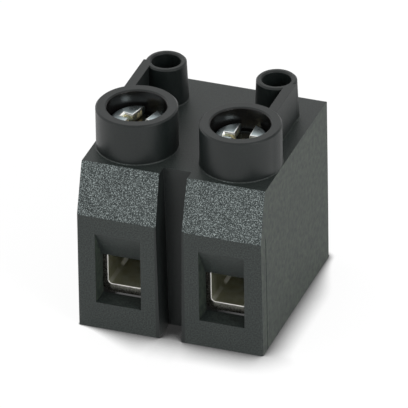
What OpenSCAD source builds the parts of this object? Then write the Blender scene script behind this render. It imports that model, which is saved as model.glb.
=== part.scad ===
// Two-pole terminal block for a circuit board, with rising-cage screw clamps and test sockets.
// Millimetres. The board lies at z = 0, +Z is up, the wires enter from -Y.
// The origin is the middle of the housing's footprint on the board.

/* [Poles] */
// Distance between the two pole centres
pitch = 12.7; // [11.5:0.1:16]
// Width of one pole, measured at the board
pole_w = 10; // [9.5:0.1:12]

/* [Housing] */
// Depth from the front face to the back face
body_d = 23.8; // [22:0.1:30]
// Height of the top face above the board
body_h = 21.1; // [20:0.1:26]
// Height of the upright part of the front
front_h = 14.9; // [13.5:0.1:18]
// How far the sloped shoulder leans back
slope_run = 1.8; // [0.8:0.1:2.2]
// How far each side leans in, from the board to the top
side_draft = 0.15; // [0:0.05:0.4]
// Rounding of the upright edges at the front
front_r = 0.25; // [0.1:0.05:0.6]
// Rounding of the upright edges and the top edge at the back
back_r = 0.6; // [0.1:0.05:1.2]
// Rounding of the two edges of the shoulder
shoulder_r = 0.3; // [0.1:0.05:1]
// Wall behind the current bars
back_wall = 1.5; // [1:0.1:2]
// Distance of the shallow line on each outer side behind the front face
line_setback = 1.5; // [1:0.1:2.5]
// Width of that line
line_w = 0.25; // [0.15:0.05:0.5]
// Depth of that line
line_d = 0.04; // [0.02:0.01:0.2]

/* [Slot between the poles] */
// Width at the board
slot_w = 2.7; // [1.5:0.1:4]
// How far each wall of the slot leans back, from the board to the top
slot_draft = 0.35; // [0:0.05:0.5]
// Depth from the front face
slot_d = 3.3; // [2:0.1:5]

/* [Screw collars] */
// Distance of the screw axis behind the front face
screw_setback = 7.35; // [7:0.05:9]
// Outside radius
collar_r = 4.8; // [4.4:0.05:4.9]
// Radius of the bore that takes the screw head
collar_bore_r = 3.5; // [3.3:0.05:3.9]
// Height of the collar rims above the top face
rim_rise = 5.2; // [4:0.1:8]
// Chamfer of the rims, inside and outside
rim_c = 0.18; // [0.06:0.02:0.3]
// Fillet where collars and sockets meet the top face
foot_r = 0.3; // [0.1:0.05:0.6]

/* [Test sockets] */
// Distance of the socket axis from the back face
socket_inset = 5.2; // [4.8:0.05:6]
// Distance of the socket axis outward from its pole centre
socket_shift = 0.45; // [0:0.05:1]
// Height of the socket rims and the webs above the top face
socket_rise = 4.95; // [3.5:0.05:8]
// Outside radius at the rim
socket_r = 2.4; // [2.2:0.05:2.8]
// How much wider the socket is at its foot, on the radius
socket_draft = 0.2; // [0:0.05:0.4]
// Radius of the bore
socket_bore_r = 1.7; // [1.5:0.05:1.9]
// Thickness of the web between a socket and its collar
web_t = 1.15; // [0.8:0.05:1.6]
// How far the web's outer face stands out from the socket's rim
web_out = 0.16; // [0.05:0.01:0.4]
// Distance of the web's end in front of the socket axis
web_stop = 0.6; // [0.3:0.05:1]

/* [Wire entries] */
// Width of the mouth in the front face
mouth_w = 5.56; // [5:0.02:6.2]
// How much the entry narrows towards the sleeve, on each side
funnel_flare = 0.1; // [0.05:0.05:0.4]
// Rise of the sill from the front face to the sleeve
sill_h = 0.2; // [0.05:0.05:0.6]
// Depth of the long slope under the top of the mouth
hood_d = 1.95; // [1:0.05:2.2]
// Height of that slope
hood_h = 3.8; // [2:0.1:4.4]
// Clear height of the entry next to the sleeve
throat_h = 5.3; // [4.6:0.1:5.6]
// How far the sill's inner edge lies under the floor of the open sleeve
throat_drop = 1.15; // [0.1:0.05:1.2]

/* [Tension sleeves] */
// Clear width inside
sleeve_in_w = 4.2; // [4:0.1:4.6]
// Length along the wire
sleeve_d = 9.7; // [8.4:0.1:9.9]
// Thickness of the sheet
sheet_t = 1.1; // [0.8:0.05:1.2]
// Inside radius of the folds
fold_r = 0.45; // [0.2:0.05:0.8]
// Gap between the end of the roof's inner layer and the wall beside it
lap_gap = 0.5; // [0.4:0.02:0.6]
// Height of the open sleeve's underside above the board
sleeve_z = 3.65; // [3:0.05:4]
// Clear height for the wire under the bar with the sleeve open
wire_h = 5.05; // [4.8:0.05:5.6]
// Clear height that is left when the screw is fully tightened
pinch_h = 0.25; // [0.1:0.05:1]

/* [Current bars] */
// Thickness of the strip
bar_t = 1.5; // [1:0.1:1.7]
// Width of the tongue inside the sleeve
tongue_w = 3.4; // [2.8:0.1:3.4]
// Distance between the two solder pins of one pole
pin_pitch = 5.08; // [4.2:0.02:5.4]
// Width of a solder pin
pin_w = 1; // [0.8:0.05:1.4]
// Width of a pin's tip
pin_tip_w = 0.6; // [0.4:0.05:0.7]
// Length of the solder pins under the board face
pin_l = 4.5; // [3:0.1:6]
// Height of the strip's lower edge above the board
leg_gap = 0.4; // [0.1:0.05:1]
// Length of the taper at a pin's tip
pin_taper = 0.8; // [0.3:0.1:1.2]
// Inside radius of the bend at the back
bar_bend_r = 0.5; // [0.3:0.05:0.8]
// Radius of the hole for a test probe
probe_r = 1.2; // [0.8:0.05:1.3]
// Depth of the grip grooves under the tongue
groove_d = 0.2; // [0.1:0.05:0.3]
// Distance from groove to groove
groove_pitch = 1.2; // [0.8:0.1:2]
// Number of grip grooves
groove_count = 4; // [2:1:4]

/* [Clamp screws] */
// Radius of the threaded shank over its crests
shank_r = 1.75; // [1.5:0.05:1.8]
// Chamfer of the tip
tip_c = 0.5; // [0.2:0.05:0.8]
// Radius of the head
head_r = 3.1; // [2.8:0.05:3.2]
// Height of the head
head_h = 3; // [2.4:0.1:3.2]
// Depth of the head's top under the rim
head_sink = 1.75; // [0.8:0.05:2]
// Rounding of the head's upper edge
head_edge_r = 0.45; // [0.2:0.05:0.8]
// Width of the screwdriver slot
drive_w = 2; // [0.8:0.05:2.2]
// Depth of the screwdriver slot
drive_d = 1.2; // [0.8:0.1:1.6]
// Width of the wings of the cross recess
cross_w = 1.1; // [0.7:0.05:1.3]
// Depth of the cross recess
cross_d = 1.9; // [1.2:0.1:2.1]
// Radius of the cross recess at the top of the head
cross_r = 2.5; // [1.8:0.05:2.6]
// Turn of the left screw from its slot along the wire
left_turn = -14; // [-90:1:90]
// Turn of the right screw
right_turn = 2; // [-90:1:90]

/* [Clearances] */
// Between a sleeve and the walls of its chamber
sleeve_clear = 0.25; // [0.15:0.05:0.4]
// Between a sleeve's roof and the bar under it, and the chamber's roof over it
lift_clear = 0.15; // [0.05:0.05:0.3]
// Between the two layers of a sleeve's roof
seam_clear = 0.06; // [0.03:0.01:0.1]
// Between a shank's crests and the sleeve's hole, on the radius
thread_clear = 0.05; // [0.02:0.01:0.1]
// Between a shank and its hole in the housing, on the radius
shank_clear = 0.25; // [0.1:0.05:0.4]
// Under a screw's tip and under its head
seat_clear = 0.1; // [0.05:0.05:0.2]
// Between a current bar and the sides of its pocket
bar_clear = 0.1; // [0.05:0.05:0.2]

/* [Hidden] */
$fn = 64;
// Overlap that keeps cuts and joins clean
over = 1;
// How far a fillet bites into the faces that it joins
blend = 0.05;

pole_x = pitch / 2;
body_w = pitch + pole_w;
front_y = -body_d / 2;
back_y = body_d / 2;
rim_z = body_h + rim_rise;
screw_y = front_y + screw_setback;
socket_x = pole_x + socket_shift;
socket_y = back_y - socket_inset;
socket_rim_z = body_h + socket_rise;

sleeve_w = sleeve_in_w + 2 * sheet_t;
sleeve_floor_z = sleeve_z + sheet_t;
sleeve_front_y = screw_y - sleeve_d / 2;
bar_z = sleeve_floor_z + wire_h;
bar_top_z = bar_z + bar_t;
roof_layers = 2 * sheet_t + seam_clear;
sleeve_h = sheet_t + wire_h + bar_t + lift_clear + roof_layers;
sleeve_travel = wire_h - pinch_h;

chamber_w = sleeve_w + 2 * sleeve_clear;
chamber_d = sleeve_d + 2 * sleeve_clear;
chamber_front_y = screw_y - chamber_d / 2;
chamber_back_y = screw_y + chamber_d / 2;
chamber_top_z = sleeve_z + sleeve_h + sleeve_travel + lift_clear;

throat_w = mouth_w - 2 * funnel_flare;
throat_z = sleeve_floor_z - throat_drop;
throat_top_z = throat_z + throat_h;

bar_w = pin_pitch + pin_w;
leg_back_y = back_y - back_wall;
leg_front_y = leg_back_y - bar_t;
tongue_front_y = sleeve_front_y + sleeve_clear;

head_top_z = rim_z - head_sink;
head_z = head_top_z - head_h;
collar_floor_z = head_z - seat_clear;
tip_z = bar_top_z + seat_clear;

// Waste at a convex corner of an outline, so that cutting it leaves a true arc
module corner_waste(before, corner, after, r) {
    a = (before - corner) / norm(before - corner);
    b = (after - corner) / norm(after - corner);
    half_angle = acos(a * b) / 2;
    tangent = r / tan(half_angle);
    middle = corner + (a + b) / norm(a + b) * r / sin(half_angle);
    difference() {
        polygon([corner + a * tangent, corner - (a + b) * r, corner + b * tangent, middle]);
        translate(middle) circle(r);
    }
}

// Outline with each corner i rounded by radii[i], where that is over zero
module rounded_outline(points, radii) {
    n = len(points);
    difference() {
        polygon(points);
        for (i = [0:n - 1])
            if (radii[i] > 0)
                corner_waste(points[(i + n - 1) % n], points[i], points[(i + 1) % n], radii[i]);
    }
}

// A profile drawn in depth and height, made a prism of width w across the middle
module across(w) {
    rotate([90, 0, 90])
        linear_extrude(height = w, center = true)
            children();
}

// A profile drawn in width and height, made a prism from y0 to y1
module along(y0, y1) {
    translate([0, y1, 0])
        rotate([90, 0, 0])
            linear_extrude(height = y1 - y0)
                children();
}

// Front view of the housing up to height h: the sides lean in towards the top
module front_view(h) {
    low = body_w / 2;
    high = low - side_draft * h / body_h;
    polygon([[-low, 0], [low, 0], [high, h], [-high, h]]);
}

// Side view of the housing: upright front, sloped shoulder, flat top, upright back
module side_view() {
    rounded_outline(
        [
            [front_y, 0],
            [back_y, 0],
            [back_y, body_h],
            [front_y + slope_run, body_h],
            [front_y, front_h]
        ],
        [0, 0, back_r, shoulder_r, shoulder_r]
    );
}

// Plan view of the housing
module plan_view() {
    x = body_w / 2;
    rounded_outline(
        [[-x, front_y], [x, front_y], [x, back_y], [-x, back_y]],
        [front_r, front_r, back_r, back_r]
    );
}

module body_block() {
    intersection() {
        along(front_y, back_y) front_view(body_h);
        across(body_w) side_view();
        linear_extrude(height = body_h) plan_view();
    }
}

// Slot between the poles: open at the front, the top and the board
module pole_slot() {
    low = slot_w / 2;
    lean = slot_draft / body_h;
    along(front_y - over, front_y + slot_d)
        polygon([
            [-low + lean * over, -over],
            [low - lean * over, -over],
            [low + lean * (body_h + over), body_h + over],
            [-low - lean * (body_h + over), body_h + over]
        ]);
}

// Shallow line down one outer side, from the shoulder to the board
module side_line(side) {
    low = body_w / 2;
    high = low - side_draft * front_h / body_h;
    y0 = front_y + line_setback;
    along(y0, y0 + line_w)
        polygon([
            [side * (low - line_d), -over],
            [side * (low + over), -over],
            [side * (low + over), front_h],
            [side * (high - line_d), front_h]
        ]);
}

// Round tower on the top face, with a chamfered rim and a fillet round its foot
module tower(r, draft, rise) {
    foot = r + draft;
    fillet_x = foot + foot_r - blend;
    fillet_z = foot_r - blend;
    rotate_extrude() {
        polygon([
            [0, -over],
            [foot, -over],
            [foot, 0],
            [r, rise - rim_c],
            [r - rim_c, rise],
            [0, rise]
        ]);
        difference() {
            translate([0, -over]) square([fillet_x, over + fillet_z]);
            translate([fillet_x, fillet_z]) circle(foot_r);
        }
    }
}

// Cutter for a round bore of length depth under a rim at height z, whose mouth is chamfered
module rim_bore(r, z, depth) {
    flared = r + rim_c + over;
    translate([0, 0, z])
        rotate_extrude()
            polygon([[0, -depth], [r, -depth], [r, -rim_c], [flared, over], [0, over]]);
}

// Collar, socket and web on the top face of one pole
module pole_towers(side) {
    web_mid_x = socket_x + socket_r + web_out - web_t / 2;
    web_y0 = screw_y + over;
    web_y1 = socket_y - web_stop;
    translate([side * pole_x, screw_y, body_h]) tower(collar_r, 0, rim_rise);
    translate([side * socket_x, socket_y, body_h]) tower(socket_r, socket_draft, socket_rise);
    translate([side * web_mid_x - web_t / 2, web_y0, body_h - over])
        cube([web_t, web_y1 - web_y0, socket_rise + over]);
}

// Wire entry, through the front wall to the end of the sleeve: a plan view crossed with a side view
module wire_entry(side) {
    mouth_x = mouth_w / 2;
    throat_x = throat_w / 2;
    wall_y = chamber_front_y;
    end_y = wall_y + over;
    translate([side * pole_x, 0, 0])
        intersection() {
            linear_extrude(height = front_h)
                polygon([
                    [-mouth_x, front_y],
                    [mouth_x, front_y],
                    [throat_x, wall_y],
                    [throat_x, end_y],
                    [-throat_x, end_y],
                    [-throat_x, wall_y]
                ]);
            across(pole_w)
                polygon([
                    [front_y, throat_z - sill_h],
                    [wall_y, throat_z],
                    [end_y, throat_z],
                    [end_y, throat_top_z],
                    [front_y + hood_d, throat_top_z],
                    [front_y, throat_top_z + hood_h]
                ]);
        }
}

// Everything cut out of one pole: sleeve chamber, bar pocket, wire entry, screw hole, test hole
module pole_cuts(side) {
    pocket_w = bar_w + 2 * bar_clear;
    translate([side * pole_x - chamber_w / 2, chamber_front_y, -over])
        cube([chamber_w, chamber_d, chamber_top_z + over]);
    translate([side * pole_x - pocket_w / 2, chamber_back_y - over, -over])
        cube([pocket_w, leg_back_y + bar_clear - chamber_back_y + over, bar_top_z + over]);
    wire_entry(side);
    translate([side * pole_x, screw_y, chamber_top_z - over])
        cylinder(r = shank_r + shank_clear, h = collar_floor_z - chamber_top_z + 2 * over);
    translate([side * pole_x, screw_y, 0]) rim_bore(collar_bore_r, rim_z, rim_z - collar_floor_z);
    translate([side * socket_x, socket_y, 0])
        rim_bore(socket_bore_r, socket_rim_z, socket_rim_z - bar_top_z + over);
}

module housing() {
    color("#2a2c2d")
        difference() {
            union() {
                body_block();
                intersection() {
                    for (side = [-1, 1]) pole_towers(side);
                    along(front_y, back_y) front_view(rim_z + over);
                }
            }
            pole_slot();
            for (side = [-1, 1]) {
                side_line(side);
                pole_cuts(side);
            }
        }
}

// Rectangle of width w from z0 to z1 with all corners rounded
module rounded_box_2d(w, z0, z1, r) {
    x = w / 2;
    rounded_outline([[-x, z0], [x, z0], [x, z1], [-x, z1]], [r, r, r, r]);
}

// Loop of sheet, seen along the wire
module sheet_loop(h) {
    difference() {
        rounded_box_2d(sleeve_w, 0, h, fold_r + sheet_t);
        rounded_box_2d(sleeve_in_w, sheet_t, h - sheet_t, fold_r);
    }
}

// Folded section of a sleeve: one strip whose two ends lap over each other in the roof
module sleeve_section() {
    half = sleeve_w / 2;
    inner_h = sleeve_h - sheet_t - seam_clear;
    lap_end = sleeve_in_w / 2 - lap_gap;
    intersection() {
        sheet_loop(sleeve_h);
        translate([-half, 0]) square([half + over, sleeve_h]);
    }
    translate([0, sleeve_h - sheet_t]) square([half, sheet_t]);
    intersection() {
        sheet_loop(inner_h);
        translate([-over, 0]) square([half + over, inner_h]);
    }
    translate([-lap_end, inner_h - sheet_t]) square([lap_end, sheet_t]);
}

module tension_sleeve(side) {
    color("#b9b7ab")
        translate([side * pole_x, 0, sleeve_z])
            difference() {
                along(sleeve_front_y, sleeve_front_y + sleeve_d) sleeve_section();
                translate([0, screw_y, sleeve_h - roof_layers - over])
                    cylinder(r = shank_r + thread_clear, h = roof_layers + 2 * over);
            }
}

// Side view of a bar: flat run, bend, leg
module bar_side() {
    outer_r = bar_bend_r + bar_t;
    difference() {
        rounded_outline(
            [[tongue_front_y, leg_gap], [leg_back_y, leg_gap], [leg_back_y, bar_top_z], [tongue_front_y, bar_top_z]],
            [0, 0, outer_r, 0]
        );
        rounded_outline(
            [
                [tongue_front_y - over, leg_gap - over],
                [leg_front_y, leg_gap - over],
                [leg_front_y, bar_z],
                [tongue_front_y - over, bar_z]
            ],
            [0, 0, bar_bend_r, 0]
        );
    }
}

// Outline of one solder pin from the strip's lower edge down, seen from the front
module pin_front() {
    half = pin_w / 2;
    tip = pin_tip_w / 2;
    polygon([
        [-half, leg_gap + over],
        [-half, pin_taper - pin_l],
        [-tip, -pin_l],
        [tip, -pin_l],
        [half, pin_taper - pin_l],
        [half, leg_gap + over]
    ]);
}

module current_bar(side) {
    groove_run = (groove_count - 1) * groove_pitch;
    spare_w = (bar_w - tongue_w) / 2;
    color("#c9c8c2")
        translate([side * pole_x, 0, 0])
            difference() {
                union() {
                    across(bar_w) bar_side();
                    for (x = [-pin_pitch / 2, pin_pitch / 2])
                        translate([x, 0, 0]) along(leg_front_y, leg_back_y) pin_front();
                }
                for (edge = [-1, 1])
                    translate([edge * (tongue_w + spare_w + over) / 2, 0, bar_z - over])
                        translate([-(spare_w + over) / 2, tongue_front_y - over, 0])
                            cube([spare_w + over, chamber_back_y + over - tongue_front_y, bar_t + 2 * over]);
                for (i = [0:groove_count - 1])
                    translate([0, screw_y - groove_run / 2 + i * groove_pitch, bar_z])
                        across(bar_w + over)
                            polygon([[-groove_d, -groove_d / 2], [groove_d, -groove_d / 2], [0, groove_d]]);
                translate([side * socket_shift, socket_y, bar_z - over])
                    cylinder(r = probe_r, h = bar_t + 2 * over);
            }
}

// Cross recess that narrows with depth, with its top at z = 0
module cross_recess() {
    wing = 2 * cross_r + over;
    bottom_r = cross_w / 2;
    intersection() {
        for (turn = [0, 90])
            rotate([0, 0, turn])
                translate([-cross_w / 2, -wing / 2, -cross_d])
                    cube([cross_w, wing, cross_d + over]);
        translate([0, 0, -cross_d])
            cylinder(r1 = bottom_r, r2 = cross_r + (cross_r - bottom_r) / cross_d * over, h = cross_d + over);
    }
}

module clamp_screw(side, turn) {
    color("#d5d8d8")
        translate([side * pole_x, screw_y, 0])
            rotate([0, 0, turn])
                difference() {
                    rotate_extrude()
                        rounded_outline(
                            [
                                [0, tip_z],
                                [shank_r - tip_c, tip_z],
                                [shank_r, tip_z + tip_c],
                                [shank_r, head_z],
                                [head_r, head_z],
                                [head_r, head_top_z],
                                [0, head_top_z]
                            ],
                            [0, 0, 0, 0, 0, head_edge_r, 0]
                        );
                    translate([-drive_w / 2, -head_r - over, head_top_z - drive_d])
                        cube([drive_w, 2 * (head_r + over), drive_d + over]);
                    translate([0, 0, head_top_z]) cross_recess();
                }
}

housing();
tension_sleeve(-1);  // tension_sleeve_left
tension_sleeve(1);  // tension_sleeve_right
current_bar(-1);  // current_bar_left
current_bar(1);  // current_bar_right
clamp_screw(-1, left_turn);  // clamp_screw_left
clamp_screw(1, right_turn);  // clamp_screw_right
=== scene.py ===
import math

import bpy
import bmesh
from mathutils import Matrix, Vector


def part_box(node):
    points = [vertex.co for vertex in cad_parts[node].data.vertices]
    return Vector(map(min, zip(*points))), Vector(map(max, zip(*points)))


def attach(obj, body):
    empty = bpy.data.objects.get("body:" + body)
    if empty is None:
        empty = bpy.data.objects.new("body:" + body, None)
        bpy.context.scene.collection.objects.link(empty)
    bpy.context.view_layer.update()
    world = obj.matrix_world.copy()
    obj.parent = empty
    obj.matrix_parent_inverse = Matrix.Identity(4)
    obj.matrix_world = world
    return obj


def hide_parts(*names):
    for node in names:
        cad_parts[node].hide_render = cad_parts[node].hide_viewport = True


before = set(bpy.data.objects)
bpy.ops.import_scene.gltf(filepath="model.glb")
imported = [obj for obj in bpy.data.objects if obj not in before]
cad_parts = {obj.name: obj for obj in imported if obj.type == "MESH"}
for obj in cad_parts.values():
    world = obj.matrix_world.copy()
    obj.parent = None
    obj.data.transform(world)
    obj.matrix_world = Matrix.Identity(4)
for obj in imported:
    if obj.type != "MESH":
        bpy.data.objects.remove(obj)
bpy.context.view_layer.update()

bl_info = {
    "name": "Terminal block looks",
    "version": (1, 0, 0),
    "blender": (4, 5, 0),
    "location": "View3D > Sidebar > Terminal block",
    "description": "Looks of a two-pole board terminal block: moulding, screws, sleeves, bars and stage",
    "category": "Object",
}

MM = 0.001
NEAR = 0.01  # How near to a level, in millimetres, an edge counts as lying on it.
SIDES = ("left", "right")

# Where the CAD puts the screws: the axis, the top of the head and the tip, all in metres.
SCREW_BOX = {side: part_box(f"clamp_screw_{side}") for side in SIDES}
SCREW_AXIS = {side: (SCREW_BOX[side][0] + SCREW_BOX[side][1]) / 2 for side in SIDES}
HEAD_TOP = SCREW_BOX["left"][1].z
TIP = SCREW_BOX["left"][0].z
HEAD_R = (SCREW_BOX["left"][1].x - SCREW_BOX["left"][0].x) / 2

# Where the CAD puts the housing's surfaces, in millimetres.
HALF_W = 11.35
HALF_D = 11.9
TOP = 21.1
SHOULDER_FOOT = 14.9
SHOULDER_BACK = -9.3
SLOT_HALF = 1.35
COLLAR_BORE_R = 3.5


def millimetres(label, text, default):
    """A length that the user sets in millimetres."""
    return bpy.props.FloatProperty(name=label, description=f"{text}, in millimetres", default=default, min=0)


def colour(label, text, default):
    """A colour as it is written, in linear values."""
    return bpy.props.FloatVectorProperty(
        name=label, description=text, default=default, subtype="COLOR", size=3, min=0, max=1
    )


def factor(label, text, default):
    """A share from 0 to 1."""
    return bpy.props.FloatProperty(
        name=label, description=text, default=default, min=0, max=1, subtype="FACTOR"
    )


def amount(label, text, default, **kind):
    """A plain number, with a unit or subtype where one fits."""
    return bpy.props.FloatProperty(name=label, description=text, default=default, **kind)


class MouldingLook(bpy.types.PropertyGroup):
    """The black moulding."""

    black: colour("Black", "Colour of the smooth faces", (0.0036, 0.0056, 0.0054))
    bore_black: colour("Bore black", "Colour of the polished collar bores", (0.0052, 0.005, 0.0048))
    grain: colour("Grain", "Colour of the light grains of the plain faces", (0.031, 0.039, 0.0355))
    # Painted glint: bright points painted into the shoulders' colour, standing for the sparkle of their
    # grain.
    painted_glint: colour("Fleck", "Colour of the bright points of the spark-eroded shoulders", (0.37, 0.425, 0.42))
    fine_grain: millimetres("Fine grain", "Size of the grain of the plain faces", 0.17)
    coarse_grain: millimetres("Coarse grain", "Size of the grain of the shoulders", 0.115)
    coarse_depth: millimetres("Coarse depth", "Depth of the grain of the shoulders", 0.03)
    mottle: millimetres("Mottle", "Size of the mottling of the outer sides and the back", 0.62)
    edge: millimetres("Edge", "Rounding of the moulded edges", 0.06)
    smooth_roughness: factor("Smooth roughness", "Roughness of the collars, the sockets and the slot", 0.42)
    grain_roughness: factor("Grain roughness", "Roughness of the front and the top", 0.46)
    side_roughness: factor("Side roughness", "Roughness of the mottled outer sides and the back", 0.62)
    bore_roughness: factor("Bore roughness", "Roughness of the polished collar bores", 0.24)


class ScrewShape(bpy.types.PropertyGroup):
    """The clamp screws."""

    head_height: millimetres("Head height", "Height of the head", 3.0)
    head_edge: millimetres("Head edge", "Rounding of the head's upper edge", 0.3)
    slot_width: millimetres("Slot width", "Width of the screwdriver slot under its lips", 1.75)
    slot_depth: millimetres("Slot depth", "Depth of the screwdriver slot", 1.2)
    wing_width: millimetres("Wing width", "Width of the wings of the cross recess under their lips", 0.85)
    wing_radius: millimetres("Wing radius", "Radius of the cross recess under its lips", 2.1)
    wing_depth: millimetres("Wing depth", "Depth of the cross recess", 1.9)
    lip: millimetres("Lip", "Rounding of the slot's and the recess's edges", 0.2)
    crest: millimetres("Crest", "Radius of the thread over its crests", 1.75)
    core: millimetres("Core", "Radius of the thread at its root", 1.38)
    pitch: millimetres("Pitch", "Pitch of the thread", 0.6)
    left_turn: amount("Left turn", "Turn of the left screw", math.radians(-14), subtype="ANGLE")
    right_turn: amount("Right turn", "Turn of the right screw", math.radians(2), subtype="ANGLE")
    plating: colour("Plating", "Colour of the bright zinc", (0.57, 0.66, 0.68))
    straw: colour("Straw", "Colour of the yellow bloom in the recess", (0.95, 0.88, 0.6))
    # Painted shade and dirt: the dark floor of the slot and the recess.
    recess_shade_and_dirt: colour("Soil", "Colour of the floor of the slot and the recess", (0.14, 0.13, 0.105))
    # Painted highlight on the lips of the slot and the recess.
    lip_highlight: colour("Worn", "Colour of the rubbed lips", (0.97, 0.97, 0.94))


class SheetLook(bpy.types.PropertyGroup):
    """The tension sleeves and the current bars."""

    sheet: millimetres("Sheet", "Thickness of the sleeves' sheet", 1.1)
    fold: millimetres("Fold", "Inside radius of the sleeves' folds", 0.45)
    burnish: millimetres("Burnish", "Width of the bright band along the sheared ends", 0.1)
    sleeve_edge: millimetres("Sleeve edge", "Rounding of the sleeves' cut edges", 0.14)
    bar_edge: millimetres("Bar edge", "Rounding of the bars' cut edges", 0.08)
    nickel: colour("Nickel", "Colour of the sleeves", (0.57, 0.58, 0.45))
    burnished: colour("Burnished", "Colour of the band along the sheared ends", (0.98, 0.97, 0.94))
    # Painted highlight along the inner folds of the sleeves.
    rubbed: colour("Rubbed", "Colour of the rubbed folds", (0.97, 0.96, 0.90))
    tin: colour("Tin", "Colour of the bars", (0.72, 0.71, 0.68))


class StageLook(bpy.types.PropertyGroup):
    """Floor, light and camera."""

    floor_grey: factor("Floor", "Brightness of the floor's paper", 0.92)
    floor_lift: factor("Floor lift", "Share of the paper's white that the camera sees without light", 0.88)
    mirror_lift: factor("Mirror lift", "What reflections add to the paper to see it white", 0.12)
    shade: factor("Shade", "How closed a corner of the foot is where the paper turns black", 0.4)
    side_reach: millimetres("Side reach", "How far the shade reaches beside the foot", 3.3)
    front_reach: millimetres("Front reach", "How far the shade reaches in front of it", 4.5)
    sky_left: amount("Sky left", "Strength of the tent on the left", 1.15, min=0)
    sky_right: amount("Sky right", "Strength of the tent on the right", 0.61, min=0)
    key_way: bpy.props.FloatVectorProperty(
        name="Key light", description="Direction of the soft box", default=(0.767, -0.398, 0.5), size=3,
    )
    key_distance: amount("Key distance", "Distance of the soft box", 0.5, min=0, unit="LENGTH")
    key_size: amount("Key size", "Width of the soft box", 0.2, min=0, unit="LENGTH")
    key_power: amount("Key power", "Power of the soft box in watts", 1.0, min=0)
    camera_place: bpy.props.FloatVectorProperty(
        name="Camera place", description="Where the camera stands", default=(0.311667, -0.848356, 0.554487),
        subtype="TRANSLATION", unit="LENGTH", size=3, precision=6,
    )
    camera_turn: bpy.props.FloatVectorProperty(
        name="Camera turn", description="How the camera is turned",
        default=(math.radians(59.0055), math.radians(0.8388), math.radians(19.6663)), subtype="EULER", size=3,
    )
    lens: amount("Lens", "Focal length in millimetres", 800.0, min=1)


# Shaping tools. Metal pieces are worked at a thousand times their size, because the operators'
# own tolerances are too coarse for tenths of a millimetre, and are then brought down.


def deselect():
    """Leaves edit mode and selects nothing."""
    if bpy.context.object and bpy.context.object.mode != "OBJECT":
        bpy.ops.object.mode_set(mode="OBJECT")
    bpy.ops.object.select_all(action="DESELECT")


def take(obj):
    """Makes obj the only selected and the active object."""
    deselect()
    obj.select_set(True)
    bpy.context.view_layer.objects.active = obj
    return obj


def named(name):
    """Names the object that an operator has just added."""
    obj = bpy.context.object
    obj.name = name
    obj.data.name = name
    return obj


def pick(obj, kind, test):
    """Enters edit mode with the edges or faces selected that pass a test."""
    take(obj)
    bpy.ops.object.mode_set(mode="EDIT")
    bpy.ops.mesh.select_mode(type=kind)
    bpy.ops.mesh.select_all(action="DESELECT")
    mesh = bmesh.from_edit_mesh(obj.data)
    found = [part for part in (mesh.edges if kind == "EDGE" else mesh.faces) if test(part)]
    for part in found:
        part.select_set(True)
    mesh.select_flush_mode()
    bmesh.update_edit_mesh(obj.data)
    if not found:
        raise RuntimeError(f"nothing to shape on {obj.name}")


def round_edges(obj, width, segments, test):
    """Bevels the edges of obj that pass a test."""
    pick(obj, "EDGE", test)
    bpy.ops.mesh.bevel(offset=width, segments=segments, profile=0.5, affect="EDGES", clamp_overlap=False)
    bpy.ops.object.mode_set(mode="OBJECT")


def apply_modifier(obj, kind, **settings):
    """Adds a modifier, sets it and applies it."""
    take(obj)
    changer = obj.modifiers.new(kind.title(), kind)
    for key, value in settings.items():
        setattr(changer, key, value)
    bpy.ops.object.modifier_apply(modifier=changer.name)
    return obj


def soften(obj, width, segments):
    """Rounds all the sharp edges of obj."""
    apply_modifier(obj, "BEVEL", width=width, segments=segments, limit_method="ANGLE",
                   angle_limit=math.radians(40), use_clamp_overlap=True)


def cut(obj, tool, operation="DIFFERENCE"):
    """Cuts a tool out of obj, or joins it on, and removes the tool."""
    apply_modifier(obj, "BOOLEAN", operation=operation, object=tool, solver="EXACT")
    bpy.data.objects.remove(tool)
    return obj


def clean(obj):
    """Merges stray points and splits all faces into triangles while the piece is still large."""
    take(obj)
    bpy.ops.object.mode_set(mode="EDIT")
    bpy.ops.mesh.select_all(action="SELECT")
    bpy.ops.mesh.remove_doubles(threshold=0.003)
    bpy.ops.mesh.dissolve_degenerate(threshold=0.002)
    bpy.ops.mesh.select_all(action="SELECT")
    bpy.ops.mesh.quads_convert_to_tris(quad_method="BEAUTY", ngon_method="BEAUTY")
    bpy.ops.object.mode_set(mode="OBJECT")
    return obj


def to_metres(obj, place=(0, 0, 0), turn=0.0):
    """Turns a piece about Z, brings it from millimetres to metres and puts it in place, all in its mesh."""
    take(obj)
    obj.scale = (MM, MM, MM)
    obj.rotation_euler = (0, 0, turn)
    obj.location = place
    bpy.ops.object.transform_apply(location=True, rotation=True, scale=True)
    return obj


def second(obj, name):
    """A copy with a mesh of its own."""
    take(obj)
    bpy.ops.object.duplicate(linked=False)
    return named(name)


def copy_of_node(node, name):
    """A merged copy of a CAD node's mesh, in millimetres, free to be shaped."""
    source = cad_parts[node]
    obj = bpy.data.objects.new(name, source.data.copy())
    bpy.context.scene.collection.objects.link(obj)
    obj.data.name = name
    obj.data.materials.clear()
    take(obj)
    obj.scale = (1 / MM, 1 / MM, 1 / MM)
    bpy.ops.object.transform_apply(location=False, rotation=False, scale=True)
    bpy.ops.object.mode_set(mode="EDIT")
    bpy.ops.mesh.select_all(action="SELECT")
    bpy.ops.mesh.remove_doubles(threshold=0.002)
    bpy.ops.mesh.dissolve_limited(angle_limit=math.radians(0.5))
    bpy.ops.object.mode_set(mode="OBJECT")
    return obj


def seat(obj, finish, body, node):
    """Gives a finished piece its smooth shading and finish, and lets it stand for its node on a body."""
    take(obj)
    bpy.ops.object.shade_smooth_by_angle(angle=math.radians(32))
    apply_modifier(obj, "WEIGHTED_NORMAL", keep_sharp=True, weight=100)
    obj.data.materials.clear()
    obj.data.materials.append(finish)
    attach(obj, body)
    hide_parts(node)
    deselect()


# Finishes.


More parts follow.
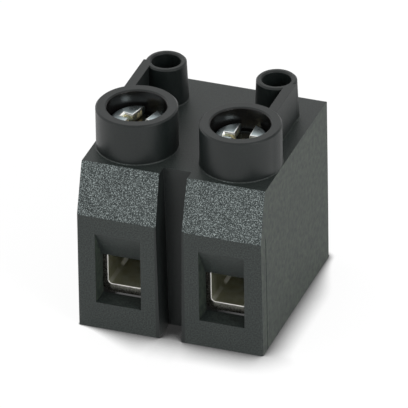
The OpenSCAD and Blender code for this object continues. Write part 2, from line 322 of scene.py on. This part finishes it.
class Finish:
    """A material being wired: small helpers that each return a socket."""

    def __init__(self, name):
        self.material = bpy.data.materials.new(name)
        self.material.use_nodes = True
        self.tree = self.material.node_tree
        self.shader = self.tree.nodes["Principled BSDF"]
        coordinates = self.tree.nodes.new("ShaderNodeTexCoord")
        self.place = coordinates.outputs["Object"]
        self.facing = coordinates.outputs["Normal"]

    def plug(self, socket, value):
        """Sets a socket, or links it."""
        if isinstance(value, bpy.types.NodeSocket):
            self.tree.links.new(value, socket)
        else:
            socket.default_value = value

    def give(self, **inputs):
        """Sets or links the shader's own sockets; an underscore stands for a space."""
        for key, value in inputs.items():
            self.plug(self.shader.inputs[key.replace("_", " ")], value)

    def maths(self, operation, a, b=0.0):
        """One step of arithmetic."""
        node = self.tree.nodes.new("ShaderNodeMath")
        node.operation = operation
        self.plug(node.inputs[0], a)
        self.plug(node.inputs[1], b)
        return node.outputs[0]

    def times(self, first, *others):
        """The product of some values."""
        for other in others:
            first = self.maths("MULTIPLY", first, other)
        return first

    def plus(self, first, *others):
        """The sum of some values."""
        for other in others:
            first = self.maths("ADD", first, other)
        return first

    def less(self, first, other):
        """The difference of two values."""
        return self.maths("SUBTRACT", first, other)

    def most(self, first, other):
        """The larger of two values."""
        return self.maths("MAXIMUM", first, other)

    def size(self, value):
        """A value without its sign."""
        return self.maths("ABSOLUTE", value)

    def parts(self, vector):
        """The x, y and z of a vector."""
        node = self.tree.nodes.new("ShaderNodeSeparateXYZ")
        self.plug(node.inputs[0], vector)
        return node.outputs

    def span(self, value, low, high, first=0.0, last=1.0, ease="SMOOTHSTEP"):
        """Goes from first to last as value goes from low to high."""
        node = self.tree.nodes.new("ShaderNodeMapRange")
        node.interpolation_type = ease
        for socket, number in zip(node.inputs, (value, low, high, first, last)):
            self.plug(socket, number)
        return node.outputs[0]

    def rise(self, value, low, high, first=0.0, last=1.0):
        """Goes from first to last as a length goes from low to high, both in millimetres."""
        return self.span(value, low * MM, high * MM, first, last)

    def fall(self, value, low, high):
        """Goes from 1 to 0 as a length goes from low to high, both in millimetres."""
        return self.rise(value, low, high, 1.0, 0.0)

    def drawn(self, scale, turn=(0, 0, 0)):
        """The place on the piece, stretched and turned."""
        node = self.tree.nodes.new("ShaderNodeMapping")
        self.plug(node.inputs["Vector"], self.place)
        node.inputs["Rotation"].default_value = turn
        node.inputs["Scale"].default_value = scale
        return node.outputs[0]

    def noise(self, size, detail=2.0, place=None):
        """Clouds of about a size in millimetres, from 0 to 1."""
        node = self.tree.nodes.new("ShaderNodeTexNoise")
        self.plug(node.inputs["Vector"], place or self.place)
        node.inputs["Scale"].default_value = 1 / (size * MM)
        node.inputs["Detail"].default_value = detail
        return node.outputs["Fac"]

    def tint(self, share, first, last):
        """A colour between two."""
        node = self.tree.nodes.new("ShaderNodeMix")
        node.data_type = "RGBA"
        self.plug(node.inputs["Factor"], share)
        for key, value in (("A", first), ("B", last)):
            socket = [s for s in node.inputs if s.name == key and s.type == "RGBA"][0]
            self.plug(socket, value if isinstance(value, bpy.types.NodeSocket) else (*value, 1))
        return [s for s in node.outputs if s.type == "RGBA"][0]

    def bump(self, height, depth, strength=1.0, normal=None):
        """A relief of a depth in millimetres."""
        node = self.tree.nodes.new("ShaderNodeBump")
        self.plug(node.inputs["Height"], height)
        self.plug(node.inputs["Strength"], strength)
        node.inputs["Distance"].default_value = depth * MM
        if normal:
            self.plug(node.inputs["Normal"], normal)
        return node.outputs[0]

    def soft_edges(self, radius):
        """A normal that rounds sharp edges by a radius in millimetres, and a mask of those edges."""
        round_off = self.tree.nodes.new("ShaderNodeBevel")
        round_off.samples = 6
        round_off.inputs["Radius"].default_value = radius * MM
        flat = self.tree.nodes.new("ShaderNodeNewGeometry")
        likeness = self.tree.nodes.new("ShaderNodeVectorMath")
        likeness.operation = "DOT_PRODUCT"
        self.plug(likeness.inputs[0], round_off.outputs[0])
        self.plug(likeness.inputs[1], flat.outputs["True Normal"])
        return round_off.outputs[0], self.span(likeness.outputs["Value"], 0.75, 0.98, 1.0, 0.0)

    def off_axis(self, axis):
        """Distance from a screw's upright axis, for both poles at once."""
        x, y, _ = self.parts(self.place)
        return self.length(self.less(self.size(x), abs(axis.x)), self.less(y, axis.y))

    def length(self, a, b):
        """The length of a step of a one way and b across it."""
        return self.maths("SQRT", self.plus(self.maths("POWER", a, 2.0), self.maths("POWER", b, 2.0)))


def toned(base, *shares):
    """A colour made lighter or darker, by one share or by one for each channel."""
    return tuple(c * share for c, share in zip(base, shares * 3 if len(shares) == 1 else shares))


def moulded_black(look):
    """Black polyamide: mottled sides and back, fine-grained faces, coarse shoulders with painted glints,
    polished bores, painted shade on the slot walls and lighter specks along the sharp edges.
    """
    f = Finish("moulded_black")
    x, y, z = f.parts(f.place)
    facing_x, facing_y, facing_z = f.parts(f.facing)

    lean = f.times(facing_y, -1.0, facing_z)
    above = f.rise(z, SHOULDER_FOOT - 0.4, SHOULDER_FOOT)
    shoulder = f.times(f.span(lean, 0.12, 0.22), above, f.fall(y, SHOULDER_BACK - 0.2, SHOULDER_BACK))
    back = f.times(f.span(facing_y, 0.9, 0.97), f.rise(y, HALF_D - 0.7, HALF_D - 0.4))
    outer = f.most(f.span(f.size(facing_x), 0.9, 0.97), back)
    within = f.fall(f.off_axis(SCREW_AXIS["right"]), COLLAR_BORE_R + 0.04, COLLAR_BORE_R + 0.1)
    bore = f.times(within, f.rise(z, TOP + 0.2, TOP + 0.4))
    not_bore = f.less(1.0, bore)
    # Painted shade: the slot walls between the poles take the smooth faces' black, darker than the grained
    # faces, together with their smoothness.
    slot = f.times(f.fall(f.size(x), SLOT_HALF + 0.35, SLOT_HALF + 0.55), f.fall(y, 8.0, 10.0))
    smooth_slot_wall_painted_shade = f.times(slot, f.span(facing_z, 0.5, 0.8, 1.0, 0.0))
    smooth = f.most(f.rise(z, TOP + 0.05, TOP + 0.2), smooth_slot_wall_painted_shade)

    fine = f.noise(look.fine_grain, 3.0)
    coarse = f.noise(look.coarse_grain, 2.0)
    mottle = f.plus(f.times(f.noise(look.mottle, 2.0), 0.6), f.times(fine, 0.4))
    cloud = f.noise(4.0, 3.0)
    rounded, edge = f.soft_edges(look.edge)
    # Lighter specks along the sharp edges, broken up by noise.
    edge_specks = f.times(edge, f.span(f.noise(0.3, 2.0), 0.5, 0.68, 0.0, 0.5))

    plain = f.tint(f.span(fine, 0.3, 0.7), toned(look.black, 1.5), look.grain)
    calm = f.tint(f.times(smooth, 0.85), plain, look.black)
    olive = toned(look.grain, 1.12, 1.2, 0.95)
    mottled = f.tint(f.span(mottle, 0.32, 0.68), toned(look.black, 2.2), olive)
    grained = f.tint(f.times(outer, f.less(1.0, smooth)), calm, mottled)
    clouded = f.tint(f.span(cloud, 0.35, 0.75, 0.0, 0.25), grained, toned(look.black, 2.4))
    edge_specked = f.tint(edge_specks, clouded, (0.10, 0.105, 0.105))
    # Painted glints: bright points in the shoulders' colour where their coarse grain would catch the light.
    shoulder_painted_glints = f.tint(f.span(coarse, 0.43, 0.80), toned(look.black, 3.0), look.painted_glint)
    bored = f.tint(bore, edge_specked, look.bore_black)
    f.give(Base_Color=f.tint(shoulder, bored, shoulder_painted_glints))

    polish = f.times(smooth, look.smooth_roughness - look.grain_roughness)
    coarser = f.times(outer, look.side_roughness - look.grain_roughness)
    uneven = f.span(fine, 0.2, 0.8, look.grain_roughness - 0.06, look.grain_roughness + 0.06)
    dull = f.times(f.plus(polish, coarser, uneven), not_bore)
    f.give(Roughness=f.plus(dull, f.times(bore, look.bore_roughness), f.times(shoulder, 0.1)))

    fine_relief = f.bump(fine, 0.006, f.times(not_bore, f.plus(0.5, outer)), rounded)
    f.give(Normal=f.bump(coarse, look.coarse_depth, shoulder, fine_relief), IOR=1.42)
    return f.material


def bright_zinc(shape):
    """Zinc plate: cool and bright on the head, straw bloom in the recess with painted shade on its deep floor
    and dirt spots, a painted highlight on the lips, scratches.
    """
    f = Finish("bright_zinc")
    _, _, z = f.parts(f.place)
    depth = f.less(HEAD_TOP, z)
    from_axis = f.off_axis(SCREW_AXIS["right"])
    recess = f.times(f.rise(depth, 0.12, 0.3), f.fall(from_axis, 2.4, 2.6))
    deep = f.times(f.rise(depth, 0.7, 1.2), f.fall(depth, 2.1, 2.4))
    # Painted highlight: the lips just under the head's top are made near white.
    lip = f.times(f.rise(depth, 0.01, 0.05), f.fall(depth, 0.18, 0.24), f.fall(from_axis, 2.7, 2.8))

    cloud = f.noise(0.9, 3.0)
    scratch = f.noise(0.3, 2.0, f.drawn((1, 0.05, 1), (0, 0, 0.6)))
    bloom = f.times(recess, f.span(cloud, 0.4, 0.6, 0.25, 1.0))
    spots = f.times(recess, f.span(f.noise(0.28, 2.0), 0.5, 0.62, 0.0, 0.6))
    # Painted shade on the deep floor of the slot and the recess, with dirt spots on the recess walls.
    shaded_and_dirty = f.times(f.most(f.times(f.fall(from_axis, 2.95, 3.02), deep), spots), 0.85)

    plate = f.tint(f.span(cloud, 0.3, 0.7), shape.plating, toned(shape.plating, 0.8))
    stained = f.tint(shaded_and_dirty, f.tint(bloom, plate, shape.straw), shape.recess_shade_and_dirt)
    f.give(Base_Color=f.tint(lip, stained, shape.lip_highlight), Metallic=1.0)
    brushed = f.plus(f.span(cloud, 0.3, 0.7, 0.24, 0.30), f.times(scratch, 0.06))
    etched = f.times(bloom, f.less(1.0, deep), 0.3)
    f.give(Roughness=f.plus(f.less(brushed, f.times(deep, 0.12)), etched))
    f.give(Normal=f.bump(scratch, 0.0015))
    return f.material


def nickel_sheet(look):
    """Nickel plate on folded sheet, lightly drawn along the wire, with a painted highlight along the inner
    folds. Its sheared ends are a bright burnished band along the inside and torn dark metal outside it."""
    f = Finish("nickel_sheet")
    x, y, z = f.parts(f.place)
    _, facing_y, _ = f.parts(f.facing)
    sheared = f.span(f.size(facing_y), 0.6, 0.9)

    # How far a point is outside the sleeve's inner surface, whose folds are rounded.
    low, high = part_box("tension_sleeve_right")
    fold = look.fold * MM
    half_w = (high.x - low.x) / 2 - look.sheet * MM - fold
    half_h = (high.z - low.z) / 2 - look.sheet * MM - fold
    from_axis = f.size(f.less(f.size(x), (low.x + high.x) / 2))
    past_x = f.less(from_axis, half_w)
    past_z = f.less(f.size(f.less(z, (low.z + high.z) / 2)), half_h)
    outside = f.less(f.length(f.most(past_x, 0.0), f.most(past_z, 0.0)), fold)

    ragged = f.plus(outside, f.times(f.noise(0.5, 2.0), 0.1 * MM))
    torn = f.times(sheared, f.rise(ragged, look.burnish, look.burnish + 0.14))
    flat = f.span(from_axis, half_w, half_w + fold, 1.0, 0.0)
    below = f.times(flat, f.fall(outside, 0.2, 0.9))
    bent = f.times(f.rise(past_x, 0.04, 0.14), f.rise(past_z, 0.04, 0.14))
    # Painted highlight: a light, less metallic streak along the inner folds, dim near the front, then a gap,
    # then bright deeper in.
    fold_glint_stretch = f.plus(f.rise(y, -6.5, -6.0, 0.3, 0.0), f.rise(y, -5.6, -5.0))
    painted_fold_glint = f.times(bent, f.fall(outside, 0.03, 0.08), fold_glint_stretch)

    cloud = f.noise(1.2, 3.0)
    lines = f.noise(0.15, 2.0, f.drawn((1, 0.05, 1)))
    tear = f.noise(0.16, 3.0)
    sheet = f.tint(f.span(cloud, 0.3, 0.7), look.nickel, toned(look.nickel, 0.82, 0.79, 0.68))
    bright = f.tint(sheared, f.tint(painted_fold_glint, sheet, look.rubbed), look.burnished)
    dark = f.tint(f.span(tear, 0.35, 0.7), (0.014, 0.014, 0.012), (0.08, 0.078, 0.068))
    rolled = f.tint(f.times(below, f.span(tear, 0.3, 0.7, 0.3, 0.6)), dark, (0.5, 0.5, 0.44))
    f.give(Base_Color=f.tint(torn, bright, rolled))
    f.give(Metallic=f.times(f.span(sheared, 0.0, 1.0, 0.75, 1.0, "LINEAR"), f.less(1.0, painted_fold_glint)))
    f.give(Roughness=f.plus(f.span(lines, 0.3, 0.7, 0.3, 0.36), f.times(torn, 0.25)))
    f.give(Normal=f.bump(tear, 0.02, sheared, f.bump(lines, 0.0006)))
    return f.material


def dull_tin(look):
    """Tin plate on copper strip: soft grey clouds, small pits and drawn lines."""
    f = Finish("dull_tin")
    cloud = f.noise(1.4, 4.0)
    pits = f.noise(0.2, 3.0)
    lines = f.noise(0.18, 2.0, f.drawn((1, 0.06, 0.06)))
    plate = f.tint(f.span(cloud, 0.35, 0.7), look.tin, toned(look.tin, 0.72))
    f.give(Base_Color=f.tint(f.span(pits, 0.2, 0.36, 0.5, 0.0), plate, (0.42, 0.4, 0.36)), Metallic=1.0)
    f.give(Roughness=f.plus(f.span(cloud, 0.3, 0.7, 0.3, 0.46), f.times(lines, 0.08)))
    f.give(Normal=f.bump(f.plus(pits, f.times(lines, 0.5)), 0.01))
    return f.material


def white_paper(look):
    """The floor: paper that the camera and reflections see as white, with the shade round the foot kept."""
    f = Finish("white_paper")
    x, y, _ = f.parts(f.place)
    beside = f.size(x)
    light = f.tree.nodes.new("ShaderNodeLightPath").outputs
    camera = light["Is Camera Ray"]
    near = f.tree.nodes.new("ShaderNodeAmbientOcclusion")
    near.samples = 16

    reach = f.rise(y, -12.5, -10.5, look.front_reach * MM, look.side_reach * MM)
    mouth = f.rise(beside, 1.0, 2.4, 1.15, 1.0)
    fade = f.times(f.rise(y, 2.0, 11.5, 1.0, 0.25), f.rise(x, -12.0, -2.5, 0.03, 1.0))
    f.plug(near.inputs["Distance"], f.times(reach, mouth, fade))
    corner = f.maths("POWER", f.span(near.outputs["AO"], look.shade, 1.0, 0.0, 1.0, "LINEAR"), 1.15)

    past_slot = f.rise(beside, SLOT_HALF - 0.01, SLOT_HALF + 0.01)
    inside = f.times(f.fall(beside, HALF_W - 0.1, HALF_W), f.fall(f.size(y), HALF_D - 0.1, HALF_D))
    under = f.times(past_slot, inside)
    shade = f.times(f.most(corner, 0.03), f.span(under, 0.0, 1.0, 1.0, 0.1, "LINEAR"))
    openness = f.plus(f.times(camera, f.less(shade, 1.0)), 1.0)

    paper = f.span(camera, 0.0, 1.0, look.floor_grey, 1.02 - look.floor_lift, "LINEAR")
    f.give(Base_Color=f.tint(f.times(paper, openness), (0, 0, 0), (1, 1, 1)), Roughness=0.9)
    f.give(Specular_IOR_Level=0.0)
    mirrored = f.most(light["Is Glossy Ray"], light["Is Transmission Ray"])
    seen = f.plus(f.times(camera, look.floor_lift), f.times(mirrored, look.mirror_lift))
    f.give(Emission_Color=(1, 1, 1, 1), Emission_Strength=f.times(seen, openness))
    return f.material


def white_tent(look):
    """The light: a white tent, dimmer on the right."""
    world = bpy.data.worlds.new("white_tent")
    world.use_nodes = True
    tree = world.node_tree
    way = tree.nodes.new("ShaderNodeTexCoord").outputs["Generated"]
    lean = tree.nodes.new("ShaderNodeVectorMath")
    lean.operation = "DOT_PRODUCT"
    tree.links.new(way, lean.inputs[0])
    lean.inputs[1].default_value = (1.0, 0.0, 0.0)
    fade = tree.nodes.new("ShaderNodeMapRange")
    fade.interpolation_type = "SMOOTHSTEP"
    tree.links.new(lean.outputs["Value"], fade.inputs[0])
    for socket, number in zip(fade.inputs[1:5], (-0.6, 0.8, look.sky_left, look.sky_right)):
        socket.default_value = number
    tree.links.new(fade.outputs[0], tree.nodes["Background"].inputs["Strength"])
    tree.nodes["Background"].inputs["Color"].default_value = (1, 1, 1, 1)
    return world


# Pieces.


class TERMINALBLOCK_OT_housing(bpy.types.Operator):
    """Finishes the moulded housing, whose shape comes from the CAD"""

    bl_idname = "terminal_block.housing"
    bl_label = "Finish the housing"

    def execute(self, context):
        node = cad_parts["housing"]
        finish = moulded_black(context.scene.moulding_look)
        node.data.materials.clear()
        node.data.materials.append(finish)
        return {"FINISHED"}


def tapered(name, top, foot, high, low):
    """A cutter from a rectangle at its top down to another at its foot."""
    deselect()
    bpy.ops.mesh.primitive_cube_add(size=1, location=(0, 0, (high + low) / 2))
    tool = named(name)
    tool.scale = (*top, high - low)
    bpy.ops.object.transform_apply(location=True, rotation=False, scale=True)
    pick(tool, "FACE", lambda p: p.normal.z < -0.9)
    bpy.ops.transform.resize(value=(foot[0] / top[0], foot[1] / top[1], 1))
    bpy.ops.object.mode_set(mode="OBJECT")
    return tool


def turned(obj, turn):
    """Turns a piece about Z in its mesh."""
    take(obj)
    obj.rotation_euler = (0, 0, turn)
    bpy.ops.object.transform_apply(location=False, rotation=True, scale=False)
    return obj


def lipped_cut(head, long, wide, lip, turn):
    """Rounds the upper edges of a cut in two facets, by a flat and a steep flared cutter."""
    corner = lip * (1 - math.sqrt(0.5))
    for angle, inset, depth in ((22.5, corner, corner), (67.5, 0.0, lip)):
        flare = (1 + depth) / math.tan(math.radians(angle))
        foot = (long + 2 * inset, wide + 2 * inset)
        top = (foot[0] + 2 * flare, foot[1] + 2 * flare)
        cut(head, turned(tapered("lip_cutter", top, foot, 1, -depth), turn))


def rod(name, sides, radius, length):
    """A round rod from z = 0 down."""
    deselect()
    place = (0, 0, -length / 2)
    bpy.ops.mesh.primitive_cylinder_add(vertices=sides, radius=radius, depth=length, location=place)
    bpy.ops.object.transform_apply(location=True, rotation=False, scale=False)
    return named(name)


def screw_head(shape):
    """The cheese head with its slot and cross recess, top at z = 0, in millimetres."""
    tall = shape.head_height
    foot_edge = 0.12
    head = rod("screw_head", 96, HEAD_R / MM, tall)
    round_edges(head, shape.head_edge, 6, lambda e: all(v.co.z > -NEAR for v in e.verts))
    round_edges(head, foot_edge, 2, lambda e: all(v.co.z < NEAR - tall for v in e.verts))

    reach = 2 * HEAD_R / MM + 2
    across = math.pi / 2
    slot = (reach, shape.slot_width)
    wing = (2 * shape.wing_radius, shape.wing_width)
    taper = 0.48
    deep = tuple((1 - taper) * size for size in wing)
    above = tuple((1 + taper / shape.wing_depth) * size for size in wing)
    cut(head, turned(tapered("slot_cutter", slot, slot, 1, -shape.slot_depth), across))
    lipped_cut(head, *slot, shape.lip, across)
    for turn in (0.0, across):
        cut(head, turned(tapered("wing_cutter", above, deep, 1, -shape.wing_depth), turn))
    lipped_cut(head, *wing, shape.lip, 0.0)
    return head


def screw_shank(shape, length):
    """The threaded shank under the head, from z = 0 down, in millimetres."""
    tip_edge = 0.35
    core = rod("shank_core", 64, shape.core, length)
    round_edges(core, tip_edge, 2, lambda e: all(v.co.z < NEAR - length for v in e.verts))

    # The ridge is a four-cornered outline, rooted a little inside the core and wound up the shank.
    root, neck, bare_ends = 0.12, 0.15, 0.9
    flank = math.tan(math.radians(30))
    crest_half = shape.pitch / 16
    foot_half = crest_half + (shape.crest - shape.core + root) * flank
    turns = int((length - bare_ends) / shape.pitch)
    start = -neck - turns * shape.pitch
    deselect()
    bpy.ops.mesh.primitive_plane_add(size=1, location=(0, 0, 0))
    ridge = named("thread_ridge")
    bpy.ops.object.mode_set(mode="EDIT")
    bpy.ops.mesh.delete(type="ONLY_FACE")
    bpy.ops.object.mode_set(mode="OBJECT")
    for vertex in ridge.data.vertices:
        radius, half = (shape.crest, crest_half) if vertex.co.x > 0 else (shape.core - root, foot_half)
        vertex.co = (radius, 0, start + math.copysign(half, vertex.co.y))
    apply_modifier(ridge, "SCREW", axis="Z", angle=math.tau, screw_offset=shape.pitch, iterations=turns,
                   steps=40, render_steps=40, use_merge_vertices=False, use_normal_calculate=True)
    take(ridge)
    bpy.ops.object.mode_set(mode="EDIT")
    bpy.ops.mesh.select_mode(type="EDGE")
    bpy.ops.mesh.select_all(action="SELECT")
    bpy.ops.mesh.region_to_loop()
    bpy.ops.mesh.fill_holes(sides=4)
    bpy.ops.mesh.select_all(action="SELECT")
    bpy.ops.mesh.fill_holes(sides=4)
    bpy.ops.mesh.normals_make_consistent(inside=False)
    bpy.ops.object.mode_set(mode="OBJECT")
    return cut(core, ridge, "UNION")


class TERMINALBLOCK_OT_clamp_screws(bpy.types.Operator):
    """Makes the clamp screws with rounded recesses and a real thread"""

    bl_idname = "terminal_block.clamp_screws"
    bl_label = "Make the clamp screws"

    def execute(self, context):
        shape = context.scene.screw_shape
        finish = bright_zinc(shape)
        head = screw_head(shape)
        length = (HEAD_TOP - TIP) / MM - shape.head_height
        overlap = 0.3
        shank = screw_shank(shape, length + overlap)
        take(shank)
        bpy.ops.transform.translate(value=(0, 0, overlap - shape.head_height))
        bpy.ops.object.transform_apply(location=True, rotation=False, scale=False)
        model = clean(cut(head, shank, "UNION"))
        for side, turn in (("left", shape.left_turn), ("right", shape.right_turn)):
            screw = second(model, f"screw_{side}_finished")
            axis = SCREW_AXIS[side]
            to_metres(screw, (axis.x, axis.y, HEAD_TOP), turn)
            seat(screw, finish, f"screw_{side}", f"clamp_screw_{side}")
        bpy.data.objects.remove(model)
        return {"FINISHED"}


class TERMINALBLOCK_OT_tension_sleeves(bpy.types.Operator):
    """Dresses the folded tension sleeves with rounded cut edges"""

    bl_idname = "terminal_block.tension_sleeves"
    bl_label = "Dress the tension sleeves"

    def execute(self, context):
        look = context.scene.sheet_look
        finish = nickel_sheet(look)
        for side in SIDES:
            sleeve = copy_of_node(f"tension_sleeve_{side}", f"sleeve_{side}_finished")
            soften(sleeve, look.sleeve_edge, 3)
            to_metres(sleeve)
            seat(sleeve, finish, f"sleeve_{side}", f"tension_sleeve_{side}")
        return {"FINISHED"}


class TERMINALBLOCK_OT_current_bars(bpy.types.Operator):
    """Dresses the current bars with rounded cut edges"""

    bl_idname = "terminal_block.current_bars"
    bl_label = "Dress the current bars"

    def execute(self, context):
        look = context.scene.sheet_look
        finish = dull_tin(look)
        for side in SIDES:
            bar = copy_of_node(f"current_bar_{side}", f"bar_{side}_finished")
            soften(bar, look.bar_edge, 2)
            to_metres(bar)
            seat(bar, finish, "block", f"current_bar_{side}")
        return {"FINISHED"}


class TERMINALBLOCK_OT_stage(bpy.types.Operator):
    """Sets the white floor, the even light and the camera"""

    bl_idname = "terminal_block.stage"
    bl_label = "Set the stage"

    def execute(self, context):
        look = context.scene.stage_look
        deselect()
        gap = 0.02 * MM
        bpy.ops.mesh.primitive_plane_add(size=6, location=(0, 0, -gap))
        floor = named("paper_floor")
        bpy.ops.object.transform_apply(location=True, rotation=False, scale=False)
        floor.data.materials.append(white_paper(look))

        context.scene.world = white_tent(look)
        bpy.ops.object.light_add(type="AREA", location=Vector(look.key_way).normalized() * look.key_distance)
        key = context.object
        key.name = "soft_box"
        key.rotation_euler = Vector(look.key_way).to_track_quat("Z", "Y").to_euler()
        key.data.size = look.key_size
        key.data.energy = look.key_power

        deselect()
        bpy.ops.object.camera_add(location=look.camera_place, rotation=look.camera_turn)
        camera = context.object
        camera.name = "photo_camera"
        camera.data.lens = look.lens
        camera.data.sensor_width = 36
        camera.data.clip_start = 0.05
        camera.data.clip_end = 20
        context.scene.camera = camera
        context.scene.view_settings.view_transform = "Standard"
        deselect()
        return {"FINISHED"}


class VIEW3D_PT_terminal_block(bpy.types.Panel):
    """Lists the sizes, the colours and the steps of the terminal block's looks"""

    bl_label = "Terminal block"
    bl_space_type = "VIEW_3D"
    bl_region_type = "UI"
    bl_category = "Terminal block"

    def draw(self, context):
        for name in GROUPS:
            box = self.layout.box()
            group = getattr(context.scene, name)
            for key in GROUPS[name].__annotations__:
                box.prop(group, key)
        for step in STEPS:
            self.layout.operator(step.bl_idname)


GROUPS = {
    "moulding_look": MouldingLook,
    "screw_shape": ScrewShape,
    "sheet_look": SheetLook,
    "stage_look": StageLook,
}
STEPS = (
    TERMINALBLOCK_OT_housing,
    TERMINALBLOCK_OT_clamp_screws,
    TERMINALBLOCK_OT_tension_sleeves,
    TERMINALBLOCK_OT_current_bars,
    TERMINALBLOCK_OT_stage,
)


def register():
    """Adds the groups, the steps and the panel."""
    for cls in (*GROUPS.values(), *STEPS, VIEW3D_PT_terminal_block):
        bpy.utils.register_class(cls)
    for name, cls in GROUPS.items():
        setattr(bpy.types.Scene, name, bpy.props.PointerProperty(type=cls))


def unregister():
    """Takes them away again."""
    for name in GROUPS:
        delattr(bpy.types.Scene, name)
    for cls in reversed((*GROUPS.values(), *STEPS, VIEW3D_PT_terminal_block)):
        bpy.utils.unregister_class(cls)


def main():
    """Runs all the steps."""
    register()
    bpy.ops.terminal_block.housing()
    bpy.ops.terminal_block.clamp_screws()
    bpy.ops.terminal_block.tension_sleeves()
    bpy.ops.terminal_block.current_bars()
    bpy.ops.terminal_block.stage()


if __name__ == "__main__":
    main()
